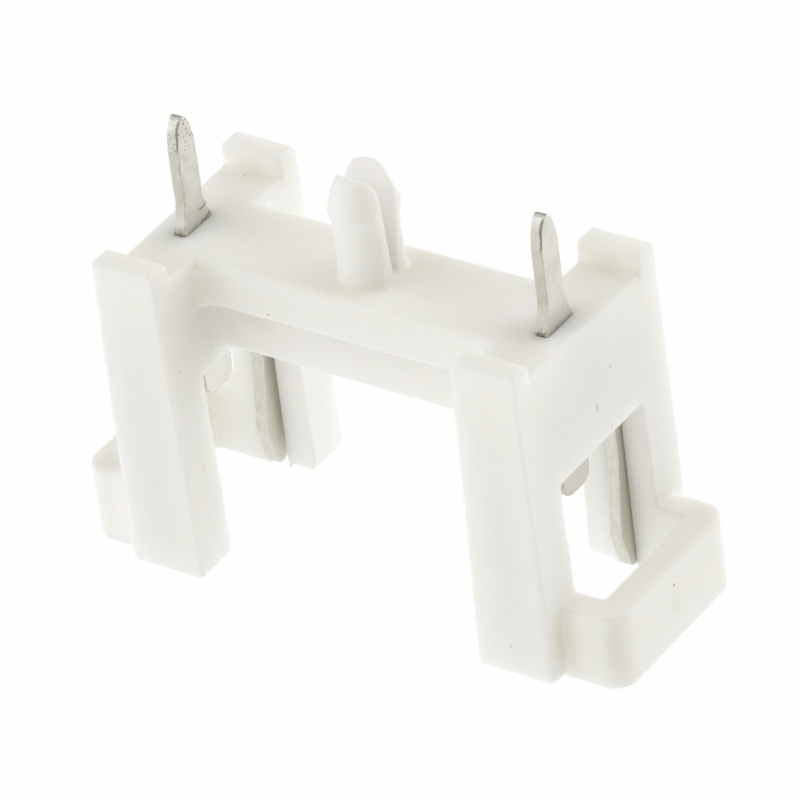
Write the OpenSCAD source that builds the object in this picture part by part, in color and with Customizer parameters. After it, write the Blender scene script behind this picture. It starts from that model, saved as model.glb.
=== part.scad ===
// Open fuse holder for a 5 x 20 mm glass fuse, soldered to a board.
// It stands on its end loops with the board side up: pins, peg and board ears point up.
// X runs along the fuse, Y across it, Z up towards the board. Lengths are in millimetres.

/* [Fuse] */
// length of the glass fuse over its caps
fuse_len = 20; // [19.5:0.1:20.5]
// play of the fuse between the two end loops
fuse_play = 0.2; // [0.1:0.05:0.6]

/* [Board side] */
// distance between the planes of the two board pins
pin_pitch = 15; // [14.4:0.1:15.6]
// height of the board seat over the underside of the end loops
seat_h = 13; // [12.6:0.1:13.6]
// height of an ear over the deck
ear_h = 0.74; // [0.5:0.02:1.1]
// thickness of an ear across the fuse
ear_t = 1; // [0.7:0.05:1.3]
// radius at the inner top corner of an ear
ear_r = 0.22; // [0.1:0.02:0.5]
// radius along the edges of the deck
edge_r = 0.34; // [0.1:0.02:0.5]

/* [Housing] */
// wall from a pin plane to the end face at the board seat
end_wall = 1.21; // [1.1:0.01:1.5]
// growth of that wall down to the foot
end_draft = 0.28; // [0.06:0.02:0.3]
// width over the outer fin faces
body_w = 9.1; // [8.8:0.1:9.6]
// radius down the outer corners at the foot
body_r = 0.36; // [0.34:0.02:0.6]
// length of a fin along the fuse at the board seat
fin_len = 2.57; // [2.4:0.01:2.9]
// inward growth of that length down to the foot
fin_taper = 0.36; // [0.1:0.02:0.5]
// thickness of a fin across the fuse
fin_t = 1.9; // [1.8:0.05:2.05]
// radius at the lower corners of a fin
fin_r = 0.25; // [0.15:0.05:0.5]
// rise of the fin ends over the underside of the loops
fin_rise = 0.2; // [0.1:0.05:0.4]
// height of an end block under the deck
block_h = 4.8; // [4.5:0.1:5.2]

/* [Deck bar] */
// width of the deck plate
deck_w = 4; // [3.4:0.1:4.4]
// thickness of the deck plate
deck_t = 1.8; // [1.4:0.05:2.1]
// width of the web under the plate
web_w = 2.9; // [2.4:0.1:3.1]
// height of the web under the plate
web_h = 2.1; // [1.6:0.02:2.4]
// radius where the deck bar runs into an end block
bar_r = 0.9; // [0.4:0.1:1.2]

/* [End loops] */
// width over the two arms of a loop
loop_w = 7.4; // [7:0.1:7.6]
// height of a loop
loop_h = 3.05; // [2.4:0.05:3.4]
// thickness of the bar across the end of the fuse
loop_bar = 1.17; // [0.9:0.01:1.4]
// radius round the outer corners of a loop
loop_r = 0.9; // [0.5:0.05:1.1]

/* [Snap peg] */
// diameter of the shaft that stands in the board hole
peg_d = 2.36; // [2:0.02:2.44]
// diameter of the foot of the shaft on the deck
peg_foot_d = 2.5; // [2.46:0.02:2.8]
// height over which that foot tapers
peg_foot_h = 0.56; // [0.3:0.02:0.8]
// diameter over the barb
barb_d = 2.66; // [2.5:0.02:3]
// height over which the barb swells
barb_h = 0.55; // [0.4:0.05:0.7]
// board thickness between the seat and the barb
peg_grip = 1.5; // [1.4:0.05:1.7]
// width of the peg between its two flat sides
peg_flat = 1.98; // [1.7:0.02:2.2]
// height of the peg tip over the board seat
peg_len = 3.54; // [3.3:0.02:4.2]
// diameter of the flat on the peg tip
peg_top_d = 1.06; // [0.9:0.02:1.2]
// radius round that flat
peg_tip_r = 0.36; // [0.2:0.02:0.44]
// height by which the front half of the peg is shorter
peg_short = 0.18; // [0.05:0.01:0.25]
// width of the split at the peg tip
split_tip = 0.9; // [0.6:0.02:1]
// width of the split at the deck
split_foot = 0.24; // [0.16:0.02:0.4]
// height of the bottom of the split over the deck
split_rise = 0.15; // [0.05:0.05:0.4]

/* [Contacts] */
// thickness of the contact sheet
sheet_t = 0.5; // [0.4:0.05:0.6]
// play of the sheet in its slot, on each side
slot_play = 0.03; // [0.02:0.01:0.05]
// length of a board pin over the seat
pin_len = 3.76; // [3.4:0.02:4.2]
// width of a board pin
pin_w = 1; // [0.8:0.05:1.1]
// width of a pin's foot on the deck
pin_foot_w = 1.62; // [1.5:0.02:1.8]
// height over the deck at which a pin's foot starts to narrow
pin_foot_h = 0.08; // [0.04:0.02:0.2]
// height over the deck at which a pin has its own width
pin_neck_h = 1.1; // [0.8:0.05:1.4]
// height over which a pin's tip closes
pin_tip_h = 1.22; // [1:0.02:1.5]
// offset of a pin from the middle of the contact
pin_y = -0.14; // [-0.2:0.02:0.2]
// width of the yoke in the end block
yoke_w = 6.7; // [6.5:0.05:6.9]
// height of the yoke
yoke_h = 2.4; // [2:0.1:2.6]
// rise of the yoke's lower edge over the block's underside
yoke_rise = 0.3; // [0.1:0.05:0.5]
// width of the tongue
tongue_w = 1.66; // [1.5:0.02:2]
// offset of the tongue from the middle of the contact
tongue_y = -0.2; // [-0.24:0.02:0.24]
// height of the tongue's end over the underside of the loops
tongue_z = 5.35; // [5:0.05:5.5]
// radius at the corners of the tongue's end
tongue_r = 0.55; // [0.3:0.05:0.7]
// step from the side of the yoke to a prong
prong_step = 0.1; // [0.06:0.02:0.2]
// width of a prong at its root
prong_w = 0.9; // [0.8:0.05:1.1]
// width of a prong at its waist
waist_w = 0.86; // [0.76:0.02:1]
// width of a prong at its throat
throat_w = 1; // [0.86:0.02:1.1]
// width of a prong's end
prong_end_w = 0.8; // [0.66:0.02:0.84]
// inward lean of a prong from its root to its waist
waist_in = 0.04; // [0.02:0.02:0.2]
// drop of a prong's waist below the tongue's end
waist_drop = 0.4; // [0.2:0.05:0.8]
// half gap between the prongs at their throat
throat = 2; // [1.8:0.05:2.2]
// height of the throat over the underside of the loops
throat_z = 1.85; // [1.6:0.05:2.2]
// height of the prong ends over the underside of the loops
prong_z = 0.22; // [0.16:0.02:0.4]
// distance from the throat to the middle of a prong's end
prong_flare = 0.72; // [0.5:0.01:0.9]
// depth of the groove that a prong works in
groove = 1.05; // [0.9:0.05:1.1]
// play of a prong in its groove towards the middle of the holder
groove_play = 0.22; // [0.1:0.02:0.3]

/* [Hidden] */
$fn = 64;

// overlap of solids that are fused
over = 0.2;
// reach of a cut beyond the solid that it opens
reach = 1;
// share of a disc's radius at which a strip joins it, just inside the rim
rim = 0.998;

end_x = pin_pitch / 2 + end_wall;
foot_x = end_x + end_draft;
block_x = end_x - fin_len;
fin_lean = atan2(fin_taper, seat_h);
end_lean = atan2(end_draft, seat_h);
fin_y = body_w / 2 - fin_t;
ear_y = body_w / 2 - ear_t;
deck_z = seat_h - ear_h;
edge_z = deck_z - edge_r;
block_z = deck_z - block_h;
plate_z = deck_z - deck_t;
web_z = plate_z - web_h;

loop_in_x = (fuse_len + fuse_play) / 2;
loop_x = loop_in_x + loop_bar;
loop_y = loop_w / 2;

// The barb swells from the board's far face, then closes to a blunt rounded tip.
barb_low_z = seat_h + peg_grip;
barb_z = barb_low_z + barb_h;
peg_tip_z = seat_h + peg_len;
tip_c = [peg_top_d / 2, peg_tip_z - peg_tip_r];
split_z = deck_z + split_rise;

pin_tip_z = seat_h + pin_len;
pin_foot_z = deck_z + pin_foot_h;
pin_neck_z = deck_z + pin_neck_h;
yoke_z = block_z + yoke_rise;
yoke_top_z = yoke_z + yoke_h;
slot_t = sheet_t + 2 * slot_play;
groove_t = sheet_t + slot_play + groove_play;
groove_x = (pin_pitch + slot_play - groove_play) / 2;

// fullness of the curve over a pin's tip: 1 is an ellipse, more is leaner
tip_power = 1.4;
// turn in degrees from one point of that curve to the next
tip_step = 12;
// bend of the flare at a pin's foot: 1 is straight
flare_power = 1.3;
// share of the flare from one of its points to the next
flare_step = 0.25;

// A prong is a chain of discs: root, waist, throat and flared end.
root_r = prong_w / 2;
waist_r = waist_w / 2;
throat_r = throat_w / 2;
end_r = prong_end_w / 2;
root_c = [yoke_w / 2 - prong_step - root_r, yoke_z + root_r];
waist_c = [root_c[0] - waist_in, tongue_z - waist_drop];
throat_c = [throat + throat_r, throat_z];
end_c = [throat + prong_flare, prong_z + end_r];

// X of a fin's inner edge and of the end face at height z
function fin_x(z) = block_x - fin_taper * (1 - z / seat_h);
function face_x(z) = end_x + end_draft * (1 - z / seat_h);

// direction from a point or disc to the tangent side of the next disc
function tangent(a, ra, b, rb, side) =
    atan2(b[1] - a[1], b[0] - a[0]) + side * acos((ra - rb) / norm(b - a));

function along(angle) = [cos(angle), sin(angle)];

// point of a pin's outline on its +Y or -Y side, at a share of the way up the flare of its foot
function flare_point(share, side) = [
    pin_y + side * (pin_w + (pin_foot_w - pin_w) * pow(1 - share, flare_power)) / 2,
    pin_foot_z + share * (pin_neck_z - pin_foot_z),
];

// point of a pin's outline at an angle over its tip
function tip_point(angle) = [
    pin_y + pin_w / 2 * cos(angle),
    pin_tip_z - pin_tip_h * (1 - pow(sin(angle), tip_power)),
];

// Two discs and the strip between their outer tangents.
module link(a, ra, b, rb) {
    left = rim * along(tangent(a, ra, b, rb, 1));
    right = rim * along(tangent(a, ra, b, rb, -1));
    translate(a)
        circle(r = ra);
    translate(b)
        circle(r = rb);
    polygon([a + ra * left, a + ra * right, b + rb * right, b + rb * left]);
}

// A rectangle from corner a to corner b with its four corners rounded.
module round_rect(a, b, r) {
    translate([a[0] + r, a[1]])
        square([b[0] - a[0] - 2 * r, b[1] - a[1]]);
    translate([a[0], a[1] + r])
        square([b[0] - a[0], b[1] - a[1] - 2 * r]);
    for (x = [a[0] + r, b[0] - r])
        for (y = [a[1] + r, b[1] - r])
            translate([x, y])
                circle(r = r);
}

// Gives a side view, drawn in X and Z, its depth from y0 to y1.
module side_slab(y0, y1) {
    translate([0, y1, 0])
        rotate([90, 0, 0])
            linear_extrude(y1 - y0)
                children();
}

// Gives an end view, drawn in Y and Z, the thickness t about the plane x.
module end_slab(x, t) {
    translate([x - t / 2, 0, 0])
        rotate([90, 0, 90])
            linear_extrude(t)
                children();
}

// Top of a wall up to the deck, rounded along both of its edges.
// low and high are its two sides, in the drawing, under and at the start of the rounding.
module deck_cap(low, high) {
    mids = [high[0] + edge_r, high[1] - edge_r];
    polygon([
        [low[0], edge_z - over],
        [low[1], edge_z - over],
        [high[1], edge_z],
        [mids[1], edge_z],
        [mids[1], deck_z],
        [mids[0], deck_z],
        [mids[0], edge_z],
        [high[0], edge_z],
    ]);
    for (m = mids)
        translate([m, edge_z])
            circle(r = edge_r);
}

// Side of a right-hand fin under the deck's edge, rounded at both lower corners.
module fin_side() {
    mid_z = fin_rise + fin_r;
    inner = [fin_x(mid_z) + fin_r / cos(fin_lean), mid_z];
    outer = [face_x(mid_z) - fin_r / cos(end_lean), mid_z];
    polygon([
        [inner[0], fin_rise],
        [outer[0], fin_rise],
        outer,
        outer + fin_r * along(end_lean),
        [face_x(edge_z), edge_z],
        [fin_x(edge_z), edge_z],
        inner + fin_r * along(180 - fin_lean),
        inner,
    ]);
    translate(inner)
        circle(r = fin_r);
    translate(outer)
        circle(r = fin_r);
}

// Side of a right-hand ear, rounded at its inner top corner.
module ear_side() {
    low = edge_z - over;
    corner = [fin_x(seat_h - ear_r) + ear_r / cos(fin_lean), seat_h - ear_r];
    polygon([
        [fin_x(low), low],
        [face_x(low), low],
        [end_x, seat_h],
        [corner[0], seat_h],
        corner,
        corner + ear_r * along(180 - fin_lean),
    ]);
    translate(corner)
        circle(r = ear_r);
}

// The four fins and their ears, within the rounded outline of the body.
module fins() {
    intersection() {
        linear_extrude(seat_h + reach)
            round_rect([-foot_x, -body_w / 2], [foot_x, body_w / 2], body_r);
        for (mx = [0, 1])
            for (my = [0, 1])
                mirror([mx, 0, 0])
                    mirror([0, my, 0]) {
                        side_slab(fin_y, body_w / 2)
                            fin_side();
                        side_slab(ear_y, body_w / 2)
                            ear_side();
                    }
    }
}

// Plan of the deck bar at width w, run into the end blocks by a radius.
module bar_plan(w) {
    square([2 * (block_x + over), w], center = true);
    for (mx = [0, 1])
        for (my = [0, 1])
            mirror([mx, 0])
                mirror([0, my])
                    difference() {
                        translate([block_x - bar_r, w / 2 - over])
                            square([bar_r + over, bar_r + over]);
                        translate([block_x - bar_r, w / 2 + bar_r])
                            circle(r = bar_r);
                    }
}

// Deck plate on its narrower web.
module deck_bar() {
    sides = [-deck_w / 2, deck_w / 2];
    translate([0, 0, plate_z])
        linear_extrude(edge_z - plate_z)
            bar_plan(deck_w);
    end_slab(0, 2 * (block_x + edge_r + over))
        deck_cap(sides, sides);
    translate([0, 0, web_z])
        linear_extrude(web_h + over)
            bar_plan(web_w);
}

// Solid block between the fins at the right-hand end, under a deck from ear to ear.
module end_block() {
    low = edge_z - over;
    side_slab(-fin_y - over, fin_y + over)
        polygon([
            [fin_x(block_z), block_z],
            [face_x(block_z), block_z],
            [face_x(edge_z), edge_z],
            [fin_x(edge_z), edge_z],
        ]);
    side_slab(-ear_y - over, ear_y + over)
        deck_cap([fin_x(low), face_x(low)], [fin_x(edge_z), face_x(edge_z)]);
}

// Stirrup that stops the end of the fuse at the right-hand end.
module end_loop() {
    linear_extrude(loop_h)
        difference() {
            round_rect([end_x - 2 * loop_r, -loop_y], [loop_x, loop_y], loop_r);
            translate([end_x - 2 * loop_r - reach, -fin_y])
                square([loop_in_x - end_x + 2 * loop_r + reach, 2 * fin_y]);
        }
}

// Half section of the peg about its axis.
module peg_half() {
    barb = [barb_d / 2, barb_z];
    polygon([
        [0, deck_z - over],
        [peg_foot_d / 2, deck_z - over],
        [peg_foot_d / 2, deck_z],
        [peg_d / 2, deck_z + peg_foot_h],
        [peg_d / 2, barb_low_z],
        barb,
        tip_c + peg_tip_r * along(tangent(barb, 0, tip_c, peg_tip_r, -1)),
        tip_c,
        [tip_c[0], peg_tip_z],
        [0, peg_tip_z],
    ]);
    translate(tip_c)
        circle(r = peg_tip_r);
}

// Snap peg with two flat sides, split along the fuse so that its halves spring together.
module peg() {
    difference() {
        intersection() {
            rotate_extrude()
                peg_half();
            translate([-peg_flat / 2, -barb_d, deck_z - over - reach])
                cube([peg_flat, 2 * barb_d, peg_tip_z - deck_z + over + 2 * reach]);
        }
        end_slab(0, barb_d + 2 * reach)
            polygon([
                [-split_foot / 2, split_z],
                [split_foot / 2, split_z],
                [split_tip / 2, peg_tip_z],
                [split_tip / 2, peg_tip_z + reach],
                [-split_tip / 2, peg_tip_z + reach],
                [-split_tip / 2, peg_tip_z],
            ]);
        translate([-barb_d, -2 * barb_d, peg_tip_z - peg_short])
            cube([2 * barb_d, 2 * barb_d, reach]);
    }
}

// End view of the close slot for a contact's yoke and its pin's foot.
module slot_end() {
    translate([-yoke_w / 2 - slot_play, block_z - reach])
        square([yoke_w + 2 * slot_play, yoke_top_z - block_z + reach]);
    translate([pin_y - pin_foot_w / 2 - slot_play, block_z])
        square([pin_foot_w + 2 * slot_play, block_h + reach]);
}

// End view of the wider grooves in which a contact's prongs spring.
module groove_end() {
    for (my = [0, 1])
        mirror([my, 0])
            translate([fin_y - over, -reach])
                square([groove + over, yoke_z + reach]);
}

// One moulding, open below for the fuse.
module housing() {
    color([0.93, 0.92, 0.88])
        difference() {
            union() {
                fins();
                deck_bar();
                for (mx = [0, 1])
                    mirror([mx, 0, 0]) {
                        end_block();
                        end_loop();
                    }
                peg();
            }
            for (s = [-1, 1]) {
                end_slab(s * pin_pitch / 2, slot_t)
                    slot_end();
                end_slab(s * groove_x, groove_t)
                    groove_end();
            }
        }
}

// End view of a board pin with its flared foot and its rounded tip.
module pin_end() {
    polygon([
        [pin_y - pin_foot_w / 2, yoke_top_z - over],
        [pin_y + pin_foot_w / 2, yoke_top_z - over],
        for (share = [0 : flare_step : 1])
            flare_point(share, 1),
        for (angle = [0 : tip_step : 180])
            tip_point(angle),
        for (share = [1 : -flare_step : 0])
            flare_point(share, -1),
    ]);
}

// End view of a contact: pin, yoke, tongue and two prongs in one flat sheet.
module contact_end() {
    pin_end();
    translate([-yoke_w / 2, yoke_z])
        square([yoke_w, yoke_h]);
    round_rect(
        [tongue_y - tongue_w / 2, tongue_z],
        [tongue_y + tongue_w / 2, yoke_z + 2 * tongue_r],
        tongue_r
    );
    for (my = [0, 1])
        mirror([my, 0]) {
            link(root_c, root_r, waist_c, waist_r);
            link(waist_c, waist_r, throat_c, throat_r);
            link(throat_c, throat_r, end_c, end_r);
        }
}

// Tinned sheet contact at the left-hand end.
module contact_left() {
    color([0.78, 0.77, 0.73])
        end_slab(-pin_pitch / 2, sheet_t)
            contact_end();
}

// The same contact at the right-hand end.
module contact_right() {
    color([0.78, 0.77, 0.73])
        end_slab(pin_pitch / 2, sheet_t)
            contact_end();
}

housing();
contact_left();
contact_right();
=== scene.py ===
"""Looks of an open fuse holder for a circuit board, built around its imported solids.

The moulding and the two sheet contacts keep the shape of their solids. Each gets the soft edges of a real
moulding or of a stamped sheet, and a procedural finish. A white sweep and soft boxes stand around it.
"""

import logging
import math
from dataclasses import dataclass, field
from enum import Enum
from typing import Any, Callable

import bpy
from mathutils import Matrix, Vector, noise


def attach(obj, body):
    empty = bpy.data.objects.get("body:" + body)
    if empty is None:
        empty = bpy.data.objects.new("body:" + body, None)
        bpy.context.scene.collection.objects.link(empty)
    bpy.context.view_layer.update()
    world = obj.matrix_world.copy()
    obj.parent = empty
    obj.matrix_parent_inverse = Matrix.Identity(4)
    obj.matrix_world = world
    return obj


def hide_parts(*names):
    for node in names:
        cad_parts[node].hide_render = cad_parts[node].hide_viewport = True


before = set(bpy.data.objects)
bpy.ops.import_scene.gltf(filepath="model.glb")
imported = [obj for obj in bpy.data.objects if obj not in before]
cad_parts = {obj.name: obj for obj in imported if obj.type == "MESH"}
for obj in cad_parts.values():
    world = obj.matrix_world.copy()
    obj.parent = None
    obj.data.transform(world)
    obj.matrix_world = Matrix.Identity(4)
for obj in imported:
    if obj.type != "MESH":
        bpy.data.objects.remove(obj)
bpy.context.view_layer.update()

LOG = logging.getLogger("fuse_holder")

# Sizes of the part are in millimetres: X runs along the fuse, Y across it and Z up.
# The finish of a pin starts PIN_ROOT below the deck.
MM = 0.001
SEAT_Z = 13.0
DECK_Z = 12.26
PIN_X = 7.5
PIN_ROOT = 0.5
SHEET_T = 0.5

# A span is a stretch along an axis, where a mask is 0 and where it is 1, or the two results of a ramp.
Span = tuple[float, float]
Triple = tuple[float, float, float]
Colour = Triple
Socket = bpy.types.NodeSocket
WHITE: Colour = (1.0, 1.0, 1.0)


class Slot(Enum):
    """Material slots of the part's record."""

    MOULDING = "moulding"
    SHEET = "tinned_sheet"


class Kind(Enum):
    """Socket types of a node group's interface."""

    VALUE = "NodeSocketFloat"
    VECTOR = "NodeSocketVector"


class Tree:
    """A thin hand on a node tree: it adds nodes, fills their inputs and links them."""

    MIX_INPUTS = (0, 6, 7)
    MIX_RESULT = 2

    def __init__(self, tree: bpy.types.NodeTree) -> None:
        """Takes over the tree of a material, a world or a group and empties it."""
        self.tree = tree
        tree.nodes.clear()

    def add(self, kind: str, inputs: dict[Any, Any] | None = None, **settings: Any) -> bpy.types.Node:
        """Adds one node.

        Args:
            kind: the node's type name.
            inputs: values or output sockets, by the name or the number of the input.
            settings: the node's own properties.

        Returns:
            The new node.
        """
        node = self.tree.nodes.new(kind)
        for name, value in settings.items():
            setattr(node, name, value)
        for name, value in (inputs or {}).items():
            self.feed(node.inputs[name], value)
        return node

    def feed(self, socket: Socket, value: Any) -> None:
        """Links an output to a socket, or sets the socket's own value.

        Args:
            socket: the input to fill.
            value: an output socket, a number, a vector or a colour.
        """
        if isinstance(value, bpy.types.NodeSocket):
            self.tree.links.new(value, socket)
        elif socket.type == "RGBA" and len(value) == 3:
            socket.default_value = (*value, 1.0)
        else:
            socket.default_value = value

    def group(self, effect: bpy.types.NodeTree, inputs: dict[str, Any]) -> bpy.types.Node:
        """Places an effect's node group with its own values.

        Args:
            effect: the effect's node group.
            inputs: values or sockets by input name.

        Returns:
            The placed group.
        """
        node = self.tree.nodes.new("ShaderNodeGroup")
        node.node_tree = effect
        for name, value in inputs.items():
            self.feed(node.inputs[name], value)
        return node

    def math(self, operation: str, a: Any, b: Any = 0.0) -> Socket:
        """Works out one value from two, by the operation's name."""
        return self.add("ShaderNodeMath", {0: a, 1: b}, operation=operation).outputs[0]

    def product(self, *values: Any) -> Socket:
        """Multiplies values in their order.

        Args:
            values: numbers or sockets.

        Returns:
            The product's socket.
        """
        result = values[0]
        for value in values[1:]:
            result = self.math("MULTIPLY", result, value)
        return result

    def vector(self, operation: str, a: Any, b: Any) -> Socket:
        """Works out one vector from two, by the operation's name."""
        return self.add("ShaderNodeVectorMath", {0: a, 1: b}, operation=operation).outputs[0]

    def scaled(self, vector: Socket, by: float) -> Socket:
        """Makes a vector longer or shorter."""
        return self.add("ShaderNodeVectorMath", {0: vector, "Scale": by}, operation="SCALE").outputs[0]

    def distance(self, a: Any, b: Triple = (0.0, 0.0, 0.0)) -> Socket:
        """Measures how far apart two points are."""
        return self.add("ShaderNodeVectorMath", {0: a, 1: b}, operation="DISTANCE").outputs["Value"]

    def axes(self, vector: Socket) -> tuple[Socket, ...]:
        """Splits a vector into X, Y and Z."""
        return tuple(self.add("ShaderNodeSeparateXYZ", {0: vector}).outputs)

    def ramp(self, value: Any, low: float, high: float, to_low: float = 0.0, to_high: float = 1.0) -> Socket:
        """Maps a value smoothly, so that low becomes to_low and high becomes to_high."""
        inputs = {0: value, 1: low, 2: high, 3: to_low, 4: to_high}
        return self.add("ShaderNodeMapRange", inputs, interpolation_type="SMOOTHSTEP").outputs[0]

    def between(self, share: Socket, low: float, high: float) -> Socket:
        """Runs from low to high while a share runs from 0 to 1."""
        return self.ramp(share, 0.0, 1.0, low, high)

    def mix(self, share: Any, a: Any, b: Any) -> Socket:
        """Mixes two colours.

        Args:
            share: how much of b shows.
            a: first colour or socket.
            b: second colour or socket.

        Returns:
            The mixed colour's socket.
        """
        inputs = dict(zip(self.MIX_INPUTS, (share, a, b)))
        node = self.add("ShaderNodeMix", inputs, data_type="RGBA", blend_type="MIX")
        return node.outputs[self.MIX_RESULT]


class Canvas(Tree):
    """The tree of a new material, which knows the place on the part and the surface's direction."""

    STRETCHED_DETAIL = 3.0

    def __init__(self, name: str) -> None:
        """Starts the material.

        Args:
            name: the material's name.
        """
        self.material = bpy.data.materials.new(name)
        self.material.use_nodes = True
        super().__init__(self.material.node_tree)
        source = self.add("ShaderNodeTexCoord")
        self.normal = source.outputs["Normal"]
        self.place = self.scaled(source.outputs["Object"], 1 / MM)
        self.x, self.y, self.z = self.axes(self.place)

    def stretched(self, waves: Triple) -> Socket:
        """Adds noise that is drawn out along an axis.

        Args:
            waves: waves per millimetre along X, Y and Z.

        Returns:
            The noise, about 0.5.
        """
        drawn = self.vector("MULTIPLY", self.place, waves)
        inputs = {"Vector": drawn, "Scale": 1.0, "Detail": self.STRETCHED_DETAIL}
        return self.add("ShaderNodeTexNoise", inputs).outputs[0]

    def over(self, level: float, span: Span, to: Span = (0.0, 1.0)) -> Socket:
        """Runs from one result to another over a span of heights above a level."""
        return self.ramp(self.z, level + span[0], level + span[1], *to)

    def near_deck(self, reach: float) -> Socket:
        """Tells how near a point of a pin is to the deck that it stands on.

        Args:
            reach: height over the deck at which the mask ends.

        Returns:
            1 at the deck, 0 at that height and on everything below the pin.
        """
        near = self.over(DECK_Z, (reach, 0.0))
        return self.product(near, self.math("GREATER_THAN", self.z, DECK_Z - PIN_ROOT))

    def on_left(self) -> Socket:
        """Tells the left-hand contact, 1, from the right-hand one, 0."""
        return self.math("LESS_THAN", self.x, 0.0)

    def grained(self, height: Socket, strength: float, depth: float) -> Socket:
        """Turns the surface's direction by small bumps.

        Args:
            height: how high a bump is, from 0 to 1.
            strength: how much the bumps show.
            depth: height of a full bump.

        Returns:
            The new direction.
        """
        inputs = {"Strength": strength, "Distance": depth * MM, "Height": height}
        return self.add("ShaderNodeBump", inputs).outputs[0]

    def shade(self, inputs: dict[str, Any], **settings: Any) -> bpy.types.Material:
        """Ends the material with its shader.

        Args:
            inputs: the shader's values or sockets by name.
            settings: the shader's own properties.

        Returns:
            The material.
        """
        shader = self.add("ShaderNodeBsdfPrincipled", inputs, **settings)
        self.add("ShaderNodeOutputMaterial", {"Surface": shader.outputs[0]})
        return self.material


class Effects:
    """Effects of the finishes, each built once as a node group."""

    CLOUD_DETAIL = 4.0
    CLOUD_WARP = 0.6
    GRAIN_DETAIL = 3.0
    NOISE_ROUGHNESS = 0.55
    BEND_SCALE = 6.0
    BEND_DETAIL = 2.0
    BEND_MIDDLE: Triple = (0.5, 0.5, 0.5)
    BEND = 0.09
    SPECK_BORDER: Span = (1.0, 0.45)
    SPECK_FADE: Span = (0.35, 1.0)
    FACE_TURN: Span = (0.5, 0.8)
    ROUNDING_START: Span = (0.45, 0.75)
    ROUNDING_END: Span = (0.995, 0.9)
    INWARD_TURN: Span = (0.3, -0.3)

    def __init__(self) -> None:
        """Builds the groups."""
        self.mottle = self._mottle()
        self.specks = self._specks()
        self.rim = self._rim()

    @staticmethod
    def _open(
        name: str, inputs: dict[str, Kind], outputs: tuple[str, ...]
    ) -> tuple[Tree, dict[str, Socket], bpy.types.Node]:
        """Starts a group with named sockets.

        Args:
            name: the group's name.
            inputs: type of each input.
            outputs: names of the outputs, which are all values.

        Returns:
            The tree, the input sockets by name, and the output node.
        """
        effect = bpy.data.node_groups.new(name, "ShaderNodeTree")
        for label, kind in inputs.items():
            effect.interface.new_socket(label, in_out="INPUT", socket_type=kind.value)
        for label in outputs:
            effect.interface.new_socket(label, in_out="OUTPUT", socket_type=Kind.VALUE.value)
        tree = Tree(effect)
        start = tree.add("NodeGroupInput")
        end = tree.add("NodeGroupOutput")
        return tree, {label: start.outputs[label] for label in inputs}, end

    def _mottle(self) -> bpy.types.NodeTree:
        """Soft clouds and fine grain.

        Returns:
            A group that puts out Cloud and Grain, both about 0.5.
        """
        inputs = {"Place": Kind.VECTOR, "Cloud Scale": Kind.VALUE, "Grain Scale": Kind.VALUE}
        tree, given, end = self._open("soft mottle", inputs, ("Cloud", "Grain"))
        layers = (("Cloud", self.CLOUD_DETAIL, self.CLOUD_WARP), ("Grain", self.GRAIN_DETAIL, 0.0))
        for name, detail, warp in layers:
            layer = tree.add(
                "ShaderNodeTexNoise",
                {
                    "Vector": given["Place"],
                    "Scale": given[name + " Scale"],
                    "Detail": detail,
                    "Roughness": self.NOISE_ROUGHNESS,
                    "Distortion": warp,
                },
            )
            tree.feed(end.inputs[name], layer.outputs[0])
        return end.id_data

    def _specks(self) -> bpy.types.NodeTree:
        """Scattered small specks with bent borders, each in a cell of its own.

        Returns:
            A group that puts out Mask.
        """
        inputs = {"Place": Kind.VECTOR, "Scale": Kind.VALUE, "Size": Kind.VALUE, "Share": Kind.VALUE}
        tree, given, end = self._open("scattered specks", inputs, ("Mask",))
        waves = {"Vector": given["Place"], "Scale": self.BEND_SCALE, "Detail": self.BEND_DETAIL}
        bend = tree.add("ShaderNodeTexNoise", waves).outputs[1]
        moved = tree.scaled(tree.vector("SUBTRACT", bend, self.BEND_MIDDLE), self.BEND)
        place = tree.vector("ADD", given["Place"], moved)
        cells = tree.add("ShaderNodeTexVoronoi", {"Vector": place, "Scale": given["Scale"]})
        draw = tree.add("ShaderNodeSeparateColor", {0: cells.outputs["Color"]})
        near = tree.math("DIVIDE", cells.outputs["Distance"], given["Size"])
        dot = tree.ramp(near, *self.SPECK_BORDER)
        kept = tree.math("LESS_THAN", draw.outputs[0], given["Share"])
        faded = tree.between(draw.outputs[1], *self.SPECK_FADE)
        tree.feed(end.inputs["Mask"], tree.product(dot, kept, faded))
        return end.id_data

    def _rim(self) -> bpy.types.NodeTree:
        """Tells the faces of a contact's sheet from its cut edges.

        Returns:
            A group that puts out Face, 1 on faces that look along X, Burr, 1 on the rounding beside them,
            Inward, 1 where a face looks at the part's middle, and Across, which runs over a cut edge from -1
            at the sheet's -X face to 1 at its +X face.
        """
        inputs = {"Place": Kind.VECTOR, "Normal": Kind.VECTOR}
        tree, given, end = self._open("sheet rim", inputs, ("Face", "Rounding", "Inward", "Across"))
        facing = tree.axes(given["Normal"])[0]
        along = tree.math("ABSOLUTE", facing)
        tree.feed(end.inputs["Face"], tree.ramp(along, *self.FACE_TURN))
        rounding_light = tree.product(tree.ramp(along, *self.ROUNDING_START), tree.ramp(along, *self.ROUNDING_END))
        tree.feed(end.inputs["Rounding"], rounding_light)
        x = tree.axes(given["Place"])[0]
        side = tree.math("SIGN", x)
        tree.feed(end.inputs["Inward"], tree.ramp(tree.product(facing, side), *self.INWARD_TURN))
        off = tree.math("SUBTRACT", x, tree.product(side, PIN_X))
        tree.feed(end.inputs["Across"], tree.math("DIVIDE", off, SHEET_T / 2))
        return end.id_data


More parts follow.
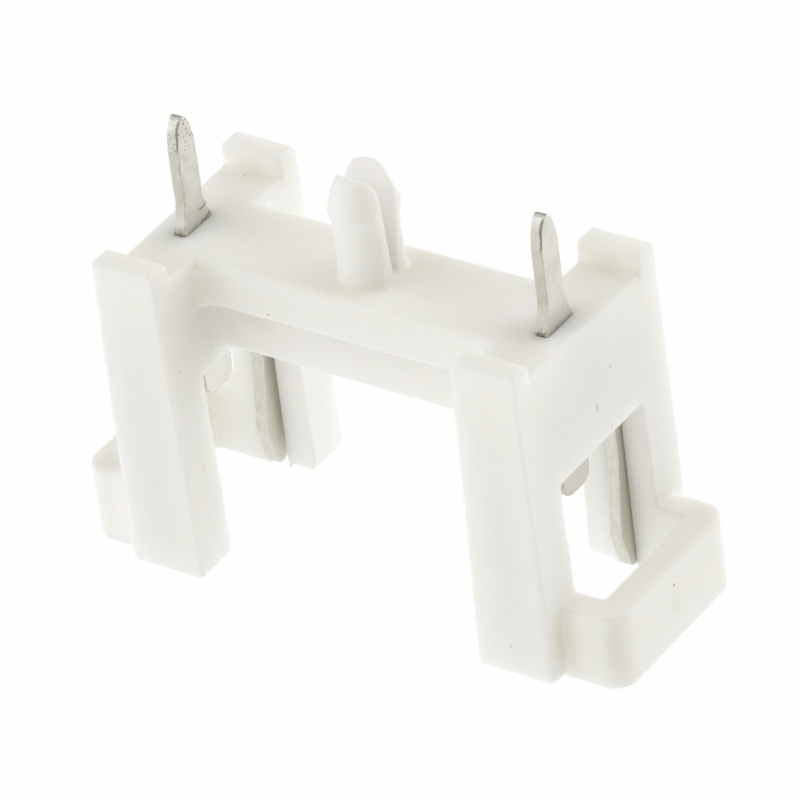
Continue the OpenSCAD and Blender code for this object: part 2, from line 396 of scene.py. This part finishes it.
@dataclass(frozen=True)
class Specks:
    """A scatter: cells per millimetre, the size of a speck in cells and the share of cells that have one."""

    scale: float
    size: float
    share: float

    def mask(self, tree: Canvas, effects: Effects) -> Socket:
        """Scatters the specks."""
        inputs = {"Place": tree.place, "Scale": self.scale, "Size": self.size, "Share": self.share}
        return tree.group(effects.specks, inputs).outputs["Mask"]


@dataclass(frozen=True)
class Mark:
    """A soft dark patch on the moulding, a dirt mark in some places and painted shade in others: its middle,
    how far it reaches each way and how dark it is.
    """

    middle: Triple
    reach: Triple
    share: float
    border: Span = (1.5, 0.7)

    def mask(self, tree: Canvas, bend: Socket) -> Socket:
        """Lays the mark.

        Args:
            tree: the material's tree.
            bend: noise that makes its border uneven.

        Returns:
            How dark it is.
        """
        off = tree.vector("SUBTRACT", tree.place, self.middle)
        far = tree.distance(tree.vector("DIVIDE", off, self.reach))
        return tree.product(tree.ramp(tree.math("ADD", far, bend), *self.border), self.share)


@dataclass(frozen=True)
class MouldedPlastic:
    """Natural off-white moulding: milky and satin, with faint clouds and a little dirt, and with painted
    light and shade.
    """

    pale: Colour = (0.945, 0.937, 0.910)
    cream: Colour = (0.936, 0.924, 0.880)
    # Painted light: the brighter, warmer colour of the faces round the fuse bay.
    bay: Colour = (0.994, 0.978, 0.902)
    # Painted shade: the darker colour of the end loops.
    foot: Colour = (0.893, 0.892, 0.868)
    # Painted highlight: the paler colour of the fins' upright outer edges and of the peg's split and +Y half.
    edge: Colour = (0.990, 0.983, 0.960)
    # The colour of specks and marks of dirt, and of the painted shade in soft patches.
    dust_and_shade: Colour = (0.16, 0.145, 0.12)
    cloud_scale: float = 0.28
    cloud_span: Span = (0.32, 0.70)
    grain_scale: float = 9.0
    grain_span: Span = (0.25, 0.75)
    rough: Span = (0.41, 0.52)
    bump: float = 0.25
    bump_depth: float = 0.01
    ior: float = 1.5
    milk: float = 0.9
    depth: float = 1.1
    spread: Triple = (1.06, 1.0, 0.8)
    bay_y: Span = (3.20, 2.70)
    bay_z: Span = (8.20, 7.60)
    loop_x: Span = (9.62, 10.32)
    edge_turn: Span = (0.05, 0.40)
    edge_y: Span = (3.30, 3.60)
    peg_front: Span = (-0.5, -0.2)
    peg_back: Span = (2.2, 2.0)
    peg_foot: Span = (0.2, 0.6)
    specks: Specks = Specks(0.42, 0.034, 0.16)
    mark_waves: float = 9.0
    mark_detail: float = 2.0
    dust_marks: tuple[Mark, ...] = (
        Mark((-3.27, -2.00, 10.72), (0.07, 0.07, 0.06), 0.55),
        Mark((-7.48, 3.11, 12.26), (0.10, 0.05, 0.06), 0.45),
        Mark((8.77, 1.06, 10.03), (0.07, 0.06, 0.06), 0.60),
        Mark((8.79, 0.00, 9.00), (0.12, 0.10, 0.32), 0.30),
        Mark((8.82, 0.71, 7.79), (0.07, 0.06, 0.05), 0.40),
        Mark((11.27, -0.13, 2.29), (0.10, 0.09, 0.08), 0.85),
        Mark((-5.90, -3.48, 4.40), (0.10, 0.07, 0.36), 0.14),
        Mark((-6.02, -3.85, 8.74), (0.07, 0.05, 0.06), 0.60),
    )
    # Painted shade in soft patches: at the feet of the back ears, beside the right-hand pin, in the corner by
    # the front-left fin, at the web's left end, in the left loop's corner and where the right loop meets the
    # front-right fin; the faint patch on the right loop's outer face is a mark of its own.
    shade_and_smudges: tuple[Mark, ...] = (
        Mark((-7.45, 3.40, 12.42), (1.15, 0.60, 0.45), 0.10),
        Mark((7.45, 3.40, 12.42), (1.15, 0.60, 0.45), 0.08),
        Mark((6.75, -0.95, 12.26), (1.10, 1.10, 0.25), 0.06),
        Mark((-6.50, -2.30, 12.20), (0.80, 0.80, 0.40), 0.05),
        Mark((-4.20, -1.45, 9.80), (1.00, 0.30, 0.60), 0.07),
        Mark((-10.50, -3.20, 3.05), (0.80, 0.80, 0.30), 0.09),
        Mark((11.27, -0.20, 1.50), (0.30, 0.42, 0.80), 0.05),
        Mark((8.95, -3.90, 1.70), (0.35, 0.50, 1.30), 0.06),
        Mark((10.83, -3.50, 1.70), (0.50, 0.40, 1.30), 0.06),
    )

    def material(self, effects: Effects) -> bpy.types.Material:
        """Builds the finish.

        Args:
            effects: the effects' node groups.

        Returns:
            The material.
        """
        tree = Canvas("natural_moulding")
        scales = {"Place": tree.place, "Cloud Scale": self.cloud_scale, "Grain Scale": self.grain_scale}
        mottle = tree.group(effects.mottle, scales)
        grain = mottle.outputs["Grain"]
        cloud = tree.ramp(mottle.outputs["Cloud"], *self.cloud_span)
        colour = tree.mix(cloud, self.pale, self.cream)
        # Painted highlight on the fins' upright outer edges and on the peg's split and +Y half.
        thin = tree.math("MAXIMUM", self._edge_highlight(tree), self._peg_highlight(tree))
        colour = tree.mix(thin, colour, self.edge)
        colour = self._zones(tree, colour)
        colour = tree.mix(self.specks.mask(tree, effects), colour, self.dust_and_shade)
        # Dirt marks and soft patches of painted shade.
        colour = tree.mix(self._marked(tree), colour, self.dust_and_shade)
        return tree.shade(
            {
                "Base Color": colour,
                "Roughness": tree.ramp(grain, *self.grain_span, *self.rough),
                "Normal": tree.grained(grain, self.bump, self.bump_depth),
                "IOR": self.ior,
                "Subsurface Weight": self.milk,
                "Subsurface Radius": self.spread,
                "Subsurface Scale": self.depth * MM,
            },
            subsurface_method="RANDOM_WALK",
        )

    def _zones(self, tree: Canvas, body: Socket) -> Socket:
        """Paints light on the faces round the fuse bay, warmer and brighter, and paints shade on the end
        loops.

        Args:
            tree: the material's tree.
            body: the moulding's own colour.

        Returns:
            The toned colour.
        """
        between = tree.ramp(tree.math("ABSOLUTE", tree.y), *self.bay_y)
        low = tree.ramp(tree.z, *self.bay_z)
        loop = tree.ramp(tree.math("ABSOLUTE", tree.x), *self.loop_x)
        inside = tree.product(between, low, tree.math("SUBTRACT", 1.0, loop))
        # Painted light round the fuse bay, then painted shade over it on the end loops.
        return tree.mix(loop, tree.mix(inside, body, self.bay), self.foot)

    def _edge_highlight(self, tree: Canvas) -> Socket:
        """Finds the upright outer edges of the fins, where a highlight is painted.

        Args:
            tree: the material's tree.

        Returns:
            How much of an edge it is.
        """
        x, y = (tree.math("ABSOLUTE", axis) for axis in tree.axes(tree.normal)[:2])
        turned = tree.ramp(tree.math("MINIMUM", x, y), *self.edge_turn)
        return tree.product(turned, tree.ramp(tree.math("ABSOLUTE", tree.y), *self.edge_y))

    def _peg_highlight(self, tree: Canvas) -> Socket:
        """Finds the split of the peg and its +Y half, where a highlight is painted."""
        back = tree.product(tree.ramp(tree.y, *self.peg_front), tree.ramp(tree.y, *self.peg_back))
        return tree.product(back, tree.over(DECK_Z, self.peg_foot))

    def _marked(self, tree: Canvas) -> Socket:
        """Lays dirt marks, and soft patches of painted shade, on the moulding.

        Args:
            tree: the material's tree.

        Returns:
            How dark a mark is.
        """
        waves = {"Vector": tree.place, "Scale": self.mark_waves, "Detail": self.mark_detail}
        bend = tree.add("ShaderNodeTexNoise", waves).outputs[0]
        total: Any = 0.0
        for mark in (*self.dust_marks, *self.shade_and_smudges):
            total = tree.math("MAXIMUM", total, mark.mask(tree, bend))
        return total


@dataclass(frozen=True)
class Pits:
    """Scattered pits in the tin, and a finer crowd of them near the left-hand pin's tip."""

    wide: Specks = Specks(2.4, 0.16, 0.3)
    wide_share: float = 0.5
    fine: Specks = Specks(7.0, 0.42, 0.8)
    fine_share: float = 0.8
    tip: Span = (2.1, 2.8)

    def mask(self, tree: Canvas, effects: Effects) -> Socket:
        """Scatters the pits.

        Args:
            tree: the material's tree.
            effects: the effects' node groups.

        Returns:
            How dark a pit is.
        """
        crowd = tree.product(tree.over(SEAT_Z, self.tip), tree.on_left())
        fine = tree.product(self.fine.mask(tree, effects), crowd, self.fine_share)
        return tree.math("MAXIMUM", fine, tree.product(self.wide.mask(tree, effects), self.wide_share))


@dataclass(frozen=True)
class Seam:
    """A torn, wandering seam on the cut edges, beside the sheet's +X face and deepest at a pin's tip."""

    wander_waves: Triple = (0.0, 1.6, 1.6)
    wander_span: Span = (0.3, 0.7)
    middle: Span = (0.55, 0.95)
    widening: Span = (1.8, 2.8)
    width: Span = (0.24, 0.36)
    border: Span = (1.0, 0.1)
    gap_waves: Triple = (0.5, 2.3, 2.3)
    gap_span: Span = (0.36, 0.60)
    tip_start: Span = (2.3, 2.8)
    tip_end: Span = (3.74, 3.58)
    tip_share: float = 0.9
    faint_depth: float = 1.0
    faint: Span = (0.08, 0.40)
    foot_reach: float = 1.1
    foot_share: float = 0.35
    right_share: float = 0.45

    def mask(self, tree: Canvas, across: Socket) -> Socket:
        """Tears the seam.

        Args:
            tree: the material's tree.
            across: place over the cut edge, from -1 to 1.

        Returns:
            How dark the seam is.
        """
        middle = tree.ramp(tree.stretched(self.wander_waves), *self.wander_span, *self.middle)
        off = tree.math("ABSOLUTE", tree.math("SUBTRACT", across, middle))
        width = tree.over(SEAT_Z, self.widening, self.width)
        line = tree.ramp(tree.math("DIVIDE", off, width), *self.border)
        broken = tree.ramp(tree.stretched(self.gap_waves), *self.gap_span)
        tip = tree.product(tree.over(SEAT_Z, self.tip_start), tree.over(SEAT_Z, self.tip_end), self.tip_share)
        faint = tree.over(DECK_Z, (-self.faint_depth, 0.0), self.faint)
        faint = tree.math("ADD", faint, tree.product(tree.near_deck(self.foot_reach), self.foot_share))
        faint = tree.product(faint, tree.between(tree.on_left(), self.right_share, 1.0))
        return tree.product(line, tree.math("MAXIMUM", tree.product(broken, faint), tip))


@dataclass(frozen=True)
class ResidueAndShade:
    """Dark deposits and painted shade round the foot of a pin, most of it on the cut edge."""

    reach: float = 0.36
    edge_share: float = 0.9
    face_share: float = 0.12
    spot_span: Span = (0.45, 0.56)
    spot_share: Span = (0.1, 1.0)

    def mask(self, tree: Canvas, grain: Socket, face: Socket) -> Socket:
        """Darkens the foot.

        Args:
            tree: the material's tree.
            grain: the fine grain.
            face: 1 on the sheet's faces, 0 on its cut edges.

        Returns:
            How dark the foot is.
        """
        share = tree.between(face, self.edge_share, self.face_share)
        spotted = tree.ramp(grain, *self.spot_span, *self.spot_share)
        return tree.product(tree.near_deck(self.reach), share, spotted)


@dataclass(frozen=True)
class BluntTip:
    """The dark blunt end on top of a pin, darkest where its surface looks up."""

    turn: Span = (0.6, 0.9)
    heights: Span = (3.2, 3.5)
    share: float = 0.75

    def mask(self, tree: Canvas) -> Socket:
        """Finds the end by its height and by how far it looks up."""
        up = tree.axes(tree.normal)[2]
        return tree.product(tree.ramp(up, *self.turn), tree.over(SEAT_Z, self.heights), self.share)


@dataclass(frozen=True)
class Scratches:
    """Thin curved scratches on the +Y side of the left-hand pin's foot."""

    middle: Triple = (-PIN_X, 0.42, DECK_Z + 0.34)
    border: Span = (0.62, 0.40)
    scale: float = 0.55
    warp: float = 7.0
    detail: float = 2.0
    detail_scale: float = 1.3
    line: Span = (0.90, 0.99)
    share: float = 0.8

    def mask(self, tree: Canvas) -> Socket:
        """Draws the scratches.

        Args:
            tree: the material's tree.

        Returns:
            How dark a scratch is.
        """
        near = tree.ramp(tree.distance(tree.place, self.middle), *self.border)
        rings = tree.add(
            "ShaderNodeTexWave",
            {
                "Vector": tree.place,
                "Scale": self.scale,
                "Distortion": self.warp,
                "Detail": self.detail,
                "Detail Scale": self.detail_scale,
            },
            wave_type="RINGS",
            rings_direction="X",
        )
        return tree.product(near, tree.ramp(rings.outputs[1], *self.line), self.share)


@dataclass(frozen=True)
class TinnedSheet:
    """Dull tin on stamped sheet: streaked cut edges with a torn seam, pits, a few scratches and feet darkened
    by stains and by painted shade; painted highlights on the roundings, painted shade round the tongues and
    towards the deck, and painted light on the inward faces below the deck.
    """

    tin: Colour = (0.765, 0.75, 0.69)
    # The darker tone of the clouds, and painted shade on faces below the deck that look outward.
    dull_and_shade: Colour = (0.70, 0.685, 0.62)
    # Painted light on faces below the deck that look at the part's middle.
    inward_light: Colour = (0.86, 0.85, 0.78)
    sheared: Colour = (0.78, 0.765, 0.695)
    streaked: Colour = (0.62, 0.605, 0.535)
    # Painted highlight on the rounding beside the faces of pins and prongs.
    rounding_light: Colour = (0.86, 0.85, 0.80)
    # Painted shade on the rounding round the tongues.
    tongue_rim_shade: Colour = (0.52, 0.51, 0.45)
    torn: Colour = (0.20, 0.19, 0.16)
    # Dark stains at a pin's foot, with painted shade there.
    stain_and_shade: Colour = (0.30, 0.29, 0.25)
    shaded: Colour = (0.60, 0.585, 0.525)
    cap: Colour = (0.34, 0.33, 0.30)
    cloud_scale: float = 1.4
    cloud_span: Span = (0.38, 0.68)
    grain_scale: float = 9.0
    rough_span: Span = (0.3, 0.7)
    rough: Span = (0.41, 0.60)
    metal: float = 0.8
    bump: float = 0.5
    bump_depth: float = 0.02
    side_share: float = 0.8
    streak_waves: Triple = (7.0, 2.2, 2.2)
    streak_span: Span = (0.38, 0.70)
    streak_share: Span = (0.45, 1.0)
    pin_share: float = 0.6
    rim_tone_span: Span = (0.35, 0.60)
    rim_tone_share: Span = (0.2, 0.9)
    tongue_y: float = 1.5
    tongue_drop: float = 2.0
    shade_reach: float = 1.3
    shade_share: float = 0.6
    seam: Seam = Seam()
    pits: Pits = Pits()
    residue_and_shade: ResidueAndShade = ResidueAndShade()
    tip: BluntTip = BluntTip()
    scratches: Scratches = Scratches()

    def material(self, effects: Effects) -> bpy.types.Material:
        """Builds the finish.

        Args:
            effects: the effects' node groups.

        Returns:
            The material.
        """
        tree = Canvas("dull_tin")
        scales = {"Place": tree.place, "Cloud Scale": self.cloud_scale, "Grain Scale": self.grain_scale}
        mottle = tree.group(effects.mottle, scales)
        cloud, grain = mottle.outputs["Cloud"], mottle.outputs["Grain"]
        rim = tree.group(effects.rim, {"Place": tree.place, "Normal": tree.normal})
        face = rim.outputs["Face"]
        pin = tree.over(DECK_Z, (-PIN_ROOT, 0.0))
        flat = self._flat(tree, cloud, rim.outputs["Inward"], pin)
        colour = tree.mix(face, self._cut(tree, rim.outputs["Across"], pin), flat)
        # Painted highlight on the roundings of pins and prongs, and painted shade on those of the tongues,
        # broken up by the grain.
        rim_tone = tree.product(rim.outputs["Rounding"], tree.ramp(grain, *self.rim_tone_span, *self.rim_tone_share))
        layers = (
            (rim_tone, tree.mix(self._tongue(tree), self.rounding_light, self.tongue_rim_shade)),
            (self.pits.mask(tree, effects), self.torn),
            (tree.product(tree.near_deck(self.shade_reach), self.shade_share), self.shaded),
            (self.residue_and_shade.mask(tree, grain, face), self.stain_and_shade),
            (self.tip.mask(tree), self.cap),
            (self.scratches.mask(tree), self.torn),
        )
        for mask, tone in layers:
            colour = tree.mix(mask, colour, tone)
        return tree.shade(
            {
                "Base Color": colour,
                "Roughness": tree.ramp(cloud, *self.rough_span, *self.rough),
                "Metallic": self.metal,
                "Normal": tree.grained(grain, self.bump, self.bump_depth),
            }
        )

    def _flat(self, tree: Canvas, cloud: Socket, inward: Socket, pin: Socket) -> Socket:
        """Tones the faces of the sheet: clouded pins, and below the deck painted light on faces that look at
        the part's middle and painted shade on those that look outward.

        Args:
            tree: the material's tree.
            cloud: the soft clouds.
            inward: 1 where a face looks at the part's middle.
            pin: 1 on a pin, 0 below it.

        Returns:
            The faces' colour.
        """
        clouded = tree.mix(tree.ramp(cloud, *self.cloud_span), self.tin, self.dull_and_shade)
        lit_sides = tree.mix(inward, self.dull_and_shade, self.inward_light)
        return tree.mix(pin, tree.mix(self.side_share, clouded, lit_sides), clouded)

    def _cut(self, tree: Canvas, across: Socket, pin: Socket) -> Socket:
        """Tones the cut edges, with the fine lines that the punch draws along them and the torn seam.

        Args:
            tree: the material's tree.
            across: place over the cut edge, from -1 to 1.
            pin: 1 on a pin, 0 below it.

        Returns:
            The cut edges' colour.
        """
        lines = tree.ramp(tree.stretched(self.streak_waves), *self.streak_span)
        lines = tree.product(lines, tree.between(pin, *self.streak_share))
        cut = tree.mix(lines, self.sheared, self.streaked)
        cut = tree.mix(tree.product(pin, self.pin_share), cut, self.streaked)
        return tree.mix(self.seam.mask(tree, across), cut, self.torn)

    def _tongue(self, tree: Canvas) -> Socket:
        """Finds the short tongue between a contact's prongs."""
        between = tree.math("LESS_THAN", tree.math("ABSOLUTE", tree.y), self.tongue_y)
        return tree.product(between, tree.math("LESS_THAN", tree.z, DECK_Z - self.tongue_drop))


@dataclass(frozen=True)
class SoftEdges:
    """How a solid's edges are softened: voxel size, smoothing passes and the share of faces that is kept."""

    voxel: float
    passes: int
    keep: float
    weld: float = 0.0005
    factor: float = 0.5
    weight: int = 80

    def of(self, node: str, name: str, ease: Callable[[bpy.types.Mesh], None]) -> bpy.types.Object:
        """Gives a solid the soft edges of the real piece.

        Args:
            node: name of the solid.
            name: name of the new piece.
            ease: what else is done to the fine mesh, in millimetres, before it is thinned.

        Returns:
            A new piece in metres, in the place of the solid.
        """
        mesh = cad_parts[node].data.copy()
        mesh.transform(Matrix.Scale(1 / MM, 4))
        rough = add_object(name + "_rough", mesh)
        self._soften(rough)
        fine = applied(rough)
        ease(fine)
        rough.modifiers.clear()
        rough.data = fine
        rough.modifiers.new("thin", "DECIMATE").ratio = self.keep
        made = applied(rough)
        bpy.data.objects.remove(rough)
        bpy.data.meshes.remove(mesh)
        bpy.data.meshes.remove(fine)
        made.name = name
        made.materials.clear()
        made.transform(Matrix.Scale(MM, 4))
        made.shade_smooth()
        piece = add_object(name, made)
        level = piece.modifiers.new("level", "WEIGHTED_NORMAL")
        level.keep_sharp = False
        level.weight = self.weight
        return piece

    def _soften(self, rough: bpy.types.Object) -> None:
        """Puts a fine skin round a solid and smooths it.

        Args:
            rough: the solid, in millimetres.
        """
        rough.modifiers.new("weld", "WELD").merge_threshold = self.weld
        skin = rough.modifiers.new("skin", "REMESH")
        skin.mode = "VOXEL"
        skin.voxel_size = self.voxel
        skin.adaptivity = 0.0
        soft = rough.modifiers.new("soft", "SMOOTH")
        soft.factor = self.factor
        soft.iterations = self.passes


@dataclass
class Piece:
    """A piece of the part, made in place of one of its solids."""

    node: str
    name: str
    slot: Slot
    edges: SoftEdges
    item: bpy.types.Object | None = field(default=None, init=False)

    def build(self) -> None:
        """Makes the soft-edged piece in place of its solid."""
        self.item = self.edges.of(self.node, self.name, self.ease)
        self.press()
        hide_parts(self.node)
        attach(self.item, "root")

    def ease(self, mesh: bpy.types.Mesh) -> None:
        """Leaves the fine mesh as it is, unless a piece has a shape of its own."""

    def press(self) -> None:
        """Leaves the finished mesh as it is, unless a piece has dents of its own."""

    def dress(self, material: bpy.types.Material) -> None:
        """Puts the finish on."""
        self.item.data.materials.append(material)


@dataclass
class Housing(Piece):
    """The one-piece moulding with its fins, end loops, deck bar and split peg."""

    node: str = "housing"
    name: str = "moulded_housing"
    slot: Slot = Slot.MOULDING
    edges: SoftEdges = SoftEdges(voxel=0.06, passes=8, keep=0.1)
    sill_x: float = 5.99
    sill_y: float = 2.62
    sill_z: float = 7.46
    sill_r: float = 0.5
    ear_y: float = 3.55
    ear_r: float = 0.42
    ear_span: Span = (6.24, 8.66)
    ear_fade: float = 0.35
    skin_voxels: int = 2

    def ease(self, mesh: bpy.types.Mesh) -> None:
        """Rounds the blocks' lower edges and fills the corners at the feet of the ears.

        Args:
            mesh: the moulding's fine mesh, in millimetres.
        """
        self._round_sills(mesh)
        self._fill_ears(mesh)
        mesh.update()

    def _fill_ears(self, mesh: bpy.types.Mesh) -> None:
        """Runs the deck up into each ear by a radius that fades out at the ear's ends.

        Args:
            mesh: the moulding's fine mesh, in millimetres.
        """
        mid_y, mid_z = self.ear_y - self.ear_r, DECK_Z + self.ear_r
        skin = self.skin_voxels * self.edges.voxel
        for vertex in mesh.vertices:
            x, y, z = vertex.co
            off_y, off_z = abs(y) - mid_y, mid_z - z
            far = math.hypot(off_y, off_z)
            inside = 0 < off_y < self.ear_r + skin and 0 < off_z < self.ear_r + skin
            if inside and far > self.ear_r and max(off_y, off_z) > self.ear_r - skin:
                to_end = min(abs(x) - self.ear_span[0], self.ear_span[1] - abs(x))
                share = min(1.0, max(0.0, to_end / self.ear_fade)) * (1 - self.ear_r / far)
                vertex.co.y -= math.copysign(off_y * share, y)
                vertex.co.z += off_z * share

    def _round_sills(self, mesh: bpy.types.Mesh) -> None:
        """Rounds the lower inner edge of each end block, over its tongue.

        Args:
            mesh: the moulding's fine mesh, in millimetres.
        """
        mid_x, mid_z = self.sill_x + self.sill_r, self.sill_z + self.sill_r
        reach = 2 * self.sill_r
        for vertex in mesh.vertices:
            x, y, z = vertex.co
            off_x, off_z = mid_x - abs(x), mid_z - z
            far = math.hypot(off_x, off_z)
            inside = abs(y) < self.sill_y and 0 < off_x < reach and 0 < off_z < reach
            if inside and far > self.sill_r:
                back = self.sill_r / far
                vertex.co.x = math.copysign(mid_x - off_x * back, x)
                vertex.co.z = mid_z - off_z * back


@dataclass
class Contact(Piece):
    """One stamped contact: pin, yoke, tongue and two prongs in a flat sheet."""

    slot: Slot = Slot.SHEET
    edges: SoftEdges = SoftEdges(voxel=0.03, passes=9, keep=0.15)
    dent: float = 0.012
    dent_waves: float = 2.2
    dent_middle: float = 0.5
    dent_fall: float = 1.0
    dent_step: float = 2.0
    dent_layers: int = 3

    def press(self) -> None:
        """Presses the surface in by the small dents that stamping leaves."""
        mesh = self.item.data
        normals = [v.normal.copy() for v in mesh.vertices]
        for vertex, normal in zip(mesh.vertices, normals):
            place = vertex.co * (self.dent_waves / MM)
            wave = noise.fractal(place, self.dent_fall, self.dent_step, self.dent_layers)
            vertex.co -= normal * (self.dent * MM * max(0.0, self.dent_middle + wave))
        mesh.update()


@dataclass(frozen=True)
class SoftBox:
    """A square lamp that looks at the part: its angles in degrees, its distance and width in metres."""

    name: str
    azimuth: float
    elevation: float
    distance: float
    width: float
    level: float
    tint: Colour

    def build(self, aim: Vector) -> None:
        """Hangs the lamp.

        Args:
            aim: the point that it looks at, in metres.
        """
        lamp = bpy.data.lights.new(self.name, "AREA")
        lamp.shape = "SQUARE"
        lamp.size = self.width
        lamp.energy = self.level * math.pi * self.width**2
        lamp.color = self.tint
        item = add_object(self.name, lamp)
        back = direction(self.azimuth, self.elevation)
        item.location = aim + back * self.distance
        item.rotation_mode = "QUATERNION"
        item.rotation_quaternion = (-back).to_track_quat("-Z", "Y")


@dataclass(frozen=True)
class PhotoCamera:
    """The photograph's camera: angles in degrees, focal length in pixels, clip distances in metres."""

    azimuth: float = 37.4507
    elevation: float = 34.5918
    roll: float = -7.6074
    focal_px: float = 8314.25
    shift_x: float = -1.0126
    shift_y: float = 5.0894
    distance: float = 286.622
    image_px: float = 800.0
    sensor: float = 36.0
    clip_start: float = 0.01
    clip_end: float = 20.0

    def build(self) -> None:
        """Sets the camera up and makes it the scene's own."""
        data = bpy.data.cameras.new("photo_camera")
        data.sensor_width = self.sensor
        data.lens = self.focal_px * self.sensor / self.image_px
        data.clip_start = self.clip_start
        data.clip_end = self.clip_end
        item = add_object("photo_camera", data)
        back = direction(self.azimuth, self.elevation)
        level = Vector((math.cos(math.radians(self.azimuth)), math.sin(math.radians(self.azimuth)), 0.0))
        up = back.cross(level)
        turn = math.radians(self.roll)
        right = level * math.cos(turn) + up * math.sin(turn)
        top = up * math.cos(turn) - level * math.sin(turn)
        stand = back * self.distance - right * self.shift_x - top * self.shift_y + Vector((0.0, 0.0, SEAT_Z))
        axes = Matrix((right, top, back)).transposed()
        item.matrix_world = Matrix.Translation(stand * MM) @ axes.to_4x4()
        bpy.context.scene.camera = item


@dataclass(frozen=True)
class Studio:
    """White sweep, two soft boxes and a surround, in metres."""

    fill: Colour = (0.315, 0.285, 0.178)
    mirrored: Colour = (0.74, 0.73, 0.69)
    floor_tone: Colour = (0.92, 0.92, 0.92)
    floor_half: float = 3.0
    floor_glow: Span = (0.90, 0.98)
    aim: Triple = (0.0, 0.0, 0.007)
    boxes: tuple[SoftBox, ...] = (
        SoftBox("box_left", -47.0, 38.0, 0.30, 0.40, 1.21, (0.944, 0.979, 1.100)),
        SoftBox("box_right", 150.0, 28.0, 0.30, 0.40, 1.50, (0.944, 0.979, 1.100)),
    )

    def build(self) -> None:
        """Builds the sweep, the surround and the lamps."""
        self._floor()
        self._surround()
        for box in self.boxes:
            box.build(Vector(self.aim))

    def _floor(self) -> None:
        """Lays the pale floor, which glows white, most of all to the camera, and keeps a weak shadow."""
        half = self.floor_half
        mesh = bpy.data.meshes.new("floor")
        corners = [(-half, -half, 0.0), (half, -half, 0.0), (half, half, 0.0), (-half, half, 0.0)]
        mesh.from_pydata(corners, [], [(0, 1, 2, 3)])
        floor = add_object("floor", mesh)
        material = bpy.data.materials.new("white_sweep")
        material.use_nodes = True
        tree = Tree(material.node_tree)
        paint = tree.add("ShaderNodeBsdfDiffuse", {"Color": self.floor_tone})
        path = tree.add("ShaderNodeLightPath")
        seen = tree.math("MAXIMUM", path.outputs["Is Camera Ray"], path.outputs["Is Glossy Ray"])
        seen = tree.math("MAXIMUM", seen, path.outputs["Is Transmission Ray"])
        white = tree.add("ShaderNodeEmission", {"Color": WHITE, "Strength": 1.0})
        share = tree.between(seen, *self.floor_glow)
        mixed = tree.add("ShaderNodeMixShader", {0: share, 1: paint.outputs[0], 2: white.outputs[0]})
        tree.add("ShaderNodeOutputMaterial", {"Surface": mixed.outputs[0]})
        mesh.materials.append(material)

    def _surround(self) -> None:
        """Lights the part evenly, shows pale in reflections and is white to the camera."""
        world = bpy.data.worlds.new("white_surround")
        world.use_nodes = True
        bpy.context.scene.world = world
        tree = Tree(world.node_tree)
        path = tree.add("ShaderNodeLightPath")
        seen = tree.math("MAXIMUM", path.outputs["Is Camera Ray"], path.outputs["Is Transmission Ray"])
        light = tree.mix(path.outputs["Is Glossy Ray"], self.fill, self.mirrored)
        sky = tree.add("ShaderNodeBackground", {"Color": tree.mix(seen, light, WHITE), "Strength": 1.0})
        tree.add("ShaderNodeOutputWorld", {"Surface": sky.outputs[0]})


def add_object(name: str, data: bpy.types.ID) -> bpy.types.Object:
    """Puts a mesh, a lamp or a camera into the scene.

    Args:
        name: the object's name.
        data: the mesh, lamp or camera.

    Returns:
        The new object.
    """
    item = bpy.data.objects.new(name, data)
    bpy.context.scene.collection.objects.link(item)
    return item


def applied(item: bpy.types.Object) -> bpy.types.Mesh:
    """Makes a new mesh of an object with its modifiers applied."""
    graph = bpy.context.evaluated_depsgraph_get()
    return bpy.data.meshes.new_from_object(item.evaluated_get(graph))


def direction(azimuth: float, elevation: float) -> Vector:
    """Turns two angles into the direction from the part to a lamp or a camera.

    Args:
        azimuth: degrees round from -Y towards +X.
        elevation: degrees above the horizon.

    Returns:
        The unit direction.
    """
    a, e = math.radians(azimuth), math.radians(elevation)
    return Vector((math.sin(a) * math.cos(e), -math.cos(a) * math.cos(e), math.sin(e)))


def main() -> None:
    """Builds the camera, the part and the studio, in that order."""
    logging.basicConfig(level=logging.INFO, format="%(name)s: %(message)s")
    bpy.context.scene.view_settings.view_transform = "Standard"
    PhotoCamera().build()
    effects = Effects()
    plastic = MouldedPlastic().material(effects)
    tin = TinnedSheet().material(effects)
    housing = Housing()
    left = Contact("contact_left", "stamped_contact_left")
    right = Contact("contact_right", "stamped_contact_right")
    for piece, finish in ((housing, plastic), (left, tin), (right, tin)):
        piece.build()
        piece.dress(finish)
        LOG.info("%s: %d faces", piece.name, len(piece.item.data.polygons))
    Studio().build()


if __name__ == "__main__":
    main()
